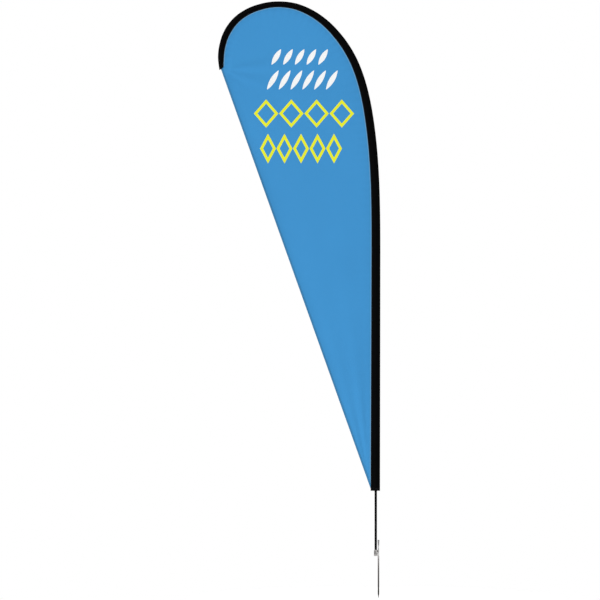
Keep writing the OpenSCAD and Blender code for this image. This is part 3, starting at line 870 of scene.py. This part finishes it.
def printed_leaves(name, count, x0, x1, z0, z1):
    """A row of slanted leaves, from x0 to x1 and from z0 up to z1."""
    height = z1 - z0
    lean = LEAF_LEAN * height
    side = np.array([-height, lean]) / math.hypot(height, lean)
    s = eased_step(np.linspace(0, 1, LEAF_POINTS))
    half = (LEAF_WIDTH * np.sin(math.pi * s) ** 0.8 + LEAF_END) / 2
    made = []
    for i in range(count):
        x = x0 + (x1 - x0 - lean) * i / (count - 1)
        line = np.stack([x + lean * s, z0 + height * s], axis=-1)
        grid = np.stack([line + k * half[:, None] * side for k in ACROSS], axis=1)
        made.append(printed(f"{name}_{i}", grid, "white_print"))
    return made


def printed_lozenges(name, count, x0, x1, z0, z1, space):
    """A row of lozenge outlines within that box."""
    half_w = ((x1 - x0) - space * (count - 1)) / count / 2 - STROKE / 2
    half_h = (z1 - z0) / 2 - STROKE / 2
    pitch = 2 * half_w + STROKE + space
    inscribed = half_w * half_h / math.hypot(half_w, half_h)
    rim = divided([(-half_w, 0), (0, -half_h), (half_w, 0), (0, half_h), (-half_w, 0)])
    made = []
    for i in range(count):
        middle = (x0 + STROKE / 2 + half_w + i * pitch, (z0 + z1) / 2)
        grid = np.stack([middle + rim * (1 + k * STROKE / 2 / inscribed) for k in ACROSS], axis=1)
        made.append(printed(f"{name}_{i}", grid, "yellow_print", loop=True))
    return made


prints = (printed_leaves("printed_leaf_high", 5, -0.705, -0.335, 3.242, 3.344)
          + printed_leaves("printed_leaf_low", 6, -0.735, -0.270, 3.078, 3.204)
          + printed_lozenges("printed_lozenge_high", 4, -0.820, -0.164, 2.831, 3.008, 10 * MM)
          + printed_lozenges("printed_lozenge_low", 5, -0.781, -0.242, 2.600, 2.777, 6 * MM))

# ---- Webbing: the tension strap and the pocket at the pole's tip ----

STRAP_T = 1.1 * MM
STRAP_SEWN = 14 * MM       # the length at the strap's upper end that is sewn together
STRAP_CLOSED = 0.75 * MM   # half the distance between its two legs there
STRAP_TACK_TURNS = 9
STRAP_THREAD_R = 0.3 * MM


def strap():
    """A loop of webbing that hangs over the collar's peg and is sewn to the sleeve at its upper end."""
    low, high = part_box("tension_strap")
    radius = (high.y - low.y) / 2 - STRAP_T / 2
    peg_z = low.z + (high.y - low.y) / 2
    top = high.z - STRAP_SEWN
    spread = radius - STRAP_CLOSED
    leg = [(STRAP_CLOSED + spread * eased_step((top - z) / (top - peg_z) * 1.3), z)
           for z in np.linspace(top, peg_z, 16)]
    turn = [(radius * math.cos(a), peg_z - radius * math.sin(a))
            for a in np.linspace(0, math.pi, 13)[1:-1]]
    end = [(STRAP_CLOSED, high.z), (STRAP_CLOSED, high.z - STRAP_SEWN / 2)]
    path = np.array(end + leg + turn + [(-y, z) for y, z in (end + leg)[::-1]])
    ahead = unit(np.gradient(path, axis=0))
    normal = np.stack([-ahead[:, 1], ahead[:, 0]], axis=-1)
    across = np.array([-1, -0.9, -0.3, 0.3, 0.9, 1]) * (high.x - low.x) / 2
    thick = np.array([0.55, 1, 1, 1, 1, 0.55]) * STRAP_T / 2
    middle = (low.x + high.x) / 2
    rings = []
    for (y, z), (ny, nz) in zip(path, normal):
        upper = [(middle + x, y + ny * h, z + nz * h) for x, h in zip(across, thick)]
        lower = [(middle + x, y - ny * h, z - nz * h) for x, h in zip(across, thick)]
        rings += upper + lower[::-1]
    faces = capped(len(path), 2 * len(across))
    made = mesh_object("tension_strap_webbing", rings, faces, MATERIALS["webbing"])
    piece(made, "pole", "webbing", "tension_strap", sharp=40)

    tack_inset = 1.5 * MM
    tack_step = (STRAP_SEWN - 2 * tack_inset) / (2 * STRAP_TACK_TURNS)
    tack_y = STRAP_CLOSED + STRAP_T / 2 + 0.15 * MM
    for side, face in FACES:
        zigzag = [(middle + (0.7 if i % 2 else -0.7) * across[-1], side * tack_y,
                   high.z - tack_inset - i * tack_step) for i in range(2 * STRAP_TACK_TURNS + 1)]
        tack = tube_along("strap_tack_" + face, zigzag, STRAP_THREAD_R, MATERIALS["black_thread"], sides=5)
        piece(tack, "pole", "webbing")


def tip_pocket():
    """Folded webbing that closes the sleeve's end, slightly proud of the cut."""
    places = END_T - MM * np.array([7, 3.5, 0])
    rings = [sleeve_ring(t, SLEEVE_WALL + 0.15 * MM) for t in places]
    centre = rings[-1].mean(axis=0)
    a = heading(END_T)
    ahead = np.array([math.cos(a), 0, math.sin(a)])
    for scale, proud in ((0.93, 0.7 * MM), (0.72, 1.1 * MM)):
        rings.append(centre + (rings[2] - centre) * np.array([1, scale, 1]) + ahead * proud)
    faces = capped(len(rings), len(rings[0]))
    made = mesh_object("tip_pocket_webbing", np.concatenate(rings), faces, MATERIALS["webbing"])
    piece(made, "pole", "webbing", "tip_pocket", sharp=40)


strap()
tip_pocket()

# ---- Ground spike and head, in millimetres ----

POINT_TOP = -250           # where the spike's bar starts to taper
BAR_R = 5
STEM_R = 3.6
STEM_WELD_R = 3.8
CAP_SIDES = 72
BEAD_STEP = 0.22
BEAD_RIPPLE = 1.15
BEAD_END = 1.5             # how far from its ends a bead is thinner


def box_mm(node):
    """A CAD node's lowest and highest corner."""
    low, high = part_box(node)
    return [v / MM for v in low], [v / MM for v in high]


def spike_bar():
    """Cold-drawn bar with a turned-down stem and a hand-ground point."""
    low, high = box_mm("spike_rod")
    outline = [(0, low[2]), (0.6, low[2] + 0.3), (2.3, low[2] + 9.5), (BAR_R, POINT_TOP), (BAR_R, -0.6),
               (BAR_R - 0.5, 0), (STEM_R, 0), (STEM_R, high[2]), (0, high[2])]
    piece(lathe("spike_bar", eased(outline, 0.4), MATERIALS["chromed_steel"]), "ground_spike",
          "chromed_steel", "spike_rod", sharp=35)


def hammered_cap():
    """The strike cap, with its top face dished and its rim spread by the mallet."""
    low, high = box_mm("strike_cap")
    foot = low[2]
    top = high[2]
    foot_r = 4.4
    waist_r = 4.7
    head_r = 5.6
    outline = eased([(3.65, foot + 0.6), (3.65, foot), (foot_r, foot), (waist_r, top - 14),
                     (head_r, top - 10), (head_r, top - 1.6), (head_r - 0.3, top - 0.7),
                     (head_r - 1.3, top - 0.15), (0, top - 0.5)], 0.5, 4)
    rows = outline[:-1]
    sides = CAP_SIDES
    points = []
    for r, z in rows:
        spread = eased_step((z - top + 3.5) / 3)
        for i in range(sides):
            a = 2 * math.pi * i / sides
            burr = math.sin(3 * a + 0.7) + 0.7 * math.sin(7 * a + 2.1) + 0.5 * math.sin(13 * a)
            reach = r * (1 + 0.012 * spread * burr) - 0.02 * spread * abs(burr)
            height = min(z + 0.12 * spread * math.sin(5 * a + 1.3) * (r / head_r), top)
            points.append((MM * reach * math.cos(a), MM * reach * math.sin(a), MM * height))
    faces = ring_faces(len(rows), sides)
    last = (len(rows) - 1) * sides
    points += [(0, 0, MM * (top - 0.5)), (0, 0, MM * (foot + 0.6))]
    faces += [(len(points) - 2, last + i, last + (i + 1) % sides) for i in range(sides)]
    faces += [(len(points) - 1, (i + 1) % sides, i) for i in range(sides)]
    piece(mesh_object("hammered_strike_cap", points, faces, MATERIALS["strike_steel"]), "ground_spike",
          "strike_steel", "strike_cap", sharp=50)


def weld(name, path, radius=0.9):
    """A rippled bead along a joint between two pieces of steel."""
    steps, at = walked(np.asarray(path, float) * MM)
    s = np.arange(0, steps[-1], BEAD_STEP * MM)
    fine_ripple = 0.13 * np.sin(2 * math.pi * s / (BEAD_RIPPLE * MM))
    slow_ripple = 0.06 * np.sin(s / (2.3 * MM))
    reach = radius * MM * (1 + fine_ripple + slow_ripple)
    reach *= np.minimum(1, 0.35 + np.minimum(s, s[-1] - s) / (BEAD_END * MM))
    bead = tube_along(name, at(s), reach, MATERIALS["weld_bead"], sides=10)
    piece(bead, "ground_spike", "chromed_steel")


def welds():
    """The arm is welded to the housing down both sides and across its top, and round the stem."""
    low, high = box_mm("spike_arm")
    foot = low[2]
    top = high[2]
    half = high[1]
    house_r = (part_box("bearing_housing")[1].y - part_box("bearing_housing")[0].y) / 2 / MM
    axis_x = POLE_X / MM
    fine_bead = 0.7

    side_x = axis_x + math.sqrt(house_r ** 2 - half ** 2) + 0.3
    for side, face in FACES:
        weld("weld_housing_" + face, [(side_x, side * (half + 0.1), z) for z in (foot + 0.4, top)])

    reach = math.asin(half / house_r)
    bead_r = house_r + 0.2
    weld("weld_housing_top", [(axis_x + bead_r * math.cos(a), bead_r * math.sin(a), top)
                              for a in np.linspace(-reach, reach, 24)])

    for number, z in enumerate((top, foot)):
        ring = [(STEM_WELD_R * math.cos(a), STEM_WELD_R * math.sin(a), z)
                for a in np.linspace(0, 2 * math.pi, 48)]
        weld(f"weld_stem_{number}", ring, fine_bead)

    edge = math.sqrt(STEM_WELD_R ** 2 - high[0] ** 2) + 0.3
    for side, face in FACES:
        ends = (foot + 0.5, top - 0.5)
        weld("weld_arm_end_" + face, [(high[0], side * edge, z) for z in ends], fine_bead)


def pole_foot():
    """The lowest pole section, with its foot rounded off and its wall showing."""
    low, high = box_mm("pole_section_1")
    foot = low[2]
    top = high[2]
    wall = 2
    r = (high[1] - low[1]) / 2
    bore_r = r - wall
    outline = [(bore_r, foot + 12), (bore_r, foot + 0.8), (bore_r + 0.7, foot), (r - 0.8, foot),
               (r, foot + 0.9), (r, foot + 20), (r, top - 0.8), (r - 0.6, top),
               (bore_r, top), (bore_r, foot + 12)]
    piece(lathe("pole_tube_lowest", eased(outline, 0.4), MATERIALS["pole_black"], POLE_X), "pole",
          "pole_black", "pole_section_1", sharp=35)


def softened(node, width):
    """Rounds a CAD node's sharp edges where they catch the light."""
    shown = frame["nodes"][node]
    merge = shown.modifiers.new("merge", "WELD")
    merge.merge_threshold = 0.002 * MM
    bevel = shown.modifiers.new("soft_edges", "BEVEL")
    bevel.width = width
    bevel.segments = 2
    bevel.limit_method = "ANGLE"
    bevel.angle_limit = math.radians(40)
    bevel.harden_normals = True


SOFT_EDGES = (("bearing_housing", 0.3), ("spike_arm", 0.4), ("spindle", 0.15), ("foot_washer", 0.12),
              ("clamp_screw", 0.18), ("clamp_nut", 0.2), ("tension_collar", 0.35), ("collar_screw", 0.15))

spike_bar()
hammered_cap()
welds()
pole_foot()
for node, width in SOFT_EDGES:
    softened(node, width * MM)

# ---- The sleeve's mean length of cloth round ----


def round_sleeve(t):
    """The length of cloth round the sleeve at t."""
    ring = sleeve_ring(t)
    return np.linalg.norm(ring - np.roll(ring, 1, axis=0), axis=1).sum()


mean_cut = np.mean([round_sleeve(t) for t in np.linspace(MOUTH_T, END_T, 80)])

# ---- Stage ----

FLOOR_RADIUS = 1.25
FLOOR_SIDES = 96


def floor():
    """A pale round floor just under the spike's point."""
    low = CAD_BOX[0].z - 1 * MM
    sides = FLOOR_SIDES
    points = [(FLOOR_RADIUS * math.cos(a), FLOOR_RADIUS * math.sin(a), low)
              for a in np.arange(sides) * 2 * math.pi / sides]
    pale = Shader("floor_pale", Roughness=0.85, Specular_IOR_Level=0.1)
    pale.colour(pale.ramp(pale.noise(scale=3, detail=3), shades((0.93, 0.93, 0.92), 0.99, 1.0, 1.01)))
    made = mesh_object("floor", points, [tuple(range(sides))], pale.material)
    made.location.x = POLE_X


# The surround that lights the surfaces, from -X to +X: (place, grey)
SURROUND = ((0.0, 0.55), (0.2, 1.0), (0.38, 0.95), (0.46, 0.35),
            (0.54, 0.30), (0.62, 0.85), (0.8, 1.0), (1.0, 0.5))
SURROUND_STRENGTH = 0.62


def world():
    """Soft studio surround: white to the camera, softer and uneven to the surfaces, which gives
    metal its shape."""
    made = bpy.data.worlds.new("studio")
    bpy.context.scene.world = made
    made.use_nodes = True
    tree = made.node_tree
    tree.nodes.clear()
    node = tree.nodes.new
    link = tree.links.new
    out = node("ShaderNodeOutputWorld")
    mix = node("ShaderNodeMixShader")
    path = node("ShaderNodeLightPath")
    seen = node("ShaderNodeBackground")
    seen.inputs["Color"].default_value = (1, 1, 1, 1)
    lit = node("ShaderNodeBackground")
    lit.inputs["Strength"].default_value = SURROUND_STRENGTH
    place = node("ShaderNodeTexCoord")
    split = node("ShaderNodeSeparateXYZ")
    span = node("ShaderNodeMapRange")
    span.inputs["From Min"].default_value = -1
    ramp = node("ShaderNodeValToRGB")
    set_stops(ramp.color_ramp, [(position, (grey, grey, grey)) for position, grey in SURROUND])
    link(place.outputs["Generated"], split.inputs["Vector"])
    link(split.outputs["X"], span.inputs["Value"])
    link(span.outputs["Result"], ramp.inputs["Fac"])
    link(ramp.outputs["Color"], lit.inputs["Color"])
    link(path.outputs["Is Camera Ray"], mix.inputs["Fac"])
    link(lit.outputs["Background"], mix.inputs[1])
    link(seen.outputs["Background"], mix.inputs[2])
    link(mix.outputs["Shader"], out.inputs["Surface"])


def sun(name, strength, azimuth, elevation, softness):
    """A broad, soft lamp that shines from that azimuth (0 is the viewer's side) and elevation."""
    data = bpy.data.lights.new(name, "SUN")
    data.energy = strength
    data.angle = math.radians(softness)
    lamp = bpy.data.objects.new(name, data)
    bpy.context.scene.collection.objects.link(lamp)
    a = math.radians(azimuth)
    e = math.radians(elevation)
    back = Vector((math.sin(a) * math.cos(e), -math.cos(a) * math.cos(e), math.sin(e)))
    lamp.rotation_euler = back.to_track_quat("Z", "Y").to_euler()


def camera():
    """Level and square on, from far off with a long lens."""
    data = bpy.data.cameras.new("camera")
    data.lens = 300
    data.sensor_width = 36
    view_width = 3.96
    view_x = -0.518
    view_z = 1.689
    made = bpy.data.objects.new("camera", data)
    bpy.context.scene.collection.objects.link(made)
    made.location = (view_x, -view_width * data.lens / data.sensor_width, view_z)
    made.rotation_euler = (math.pi / 2, 0, 0)
    bpy.context.scene.camera = made


floor()
world()
sun("key", 2.0, -50, 30, 14)
sun("fill", 0.5, 46, 10, 32)
sun("back_light", 1.6, 140, 30, 14)
sun("top_light", 0.35, 0, 88, 40)
camera()
bpy.context.scene.view_settings.view_transform = "Standard"
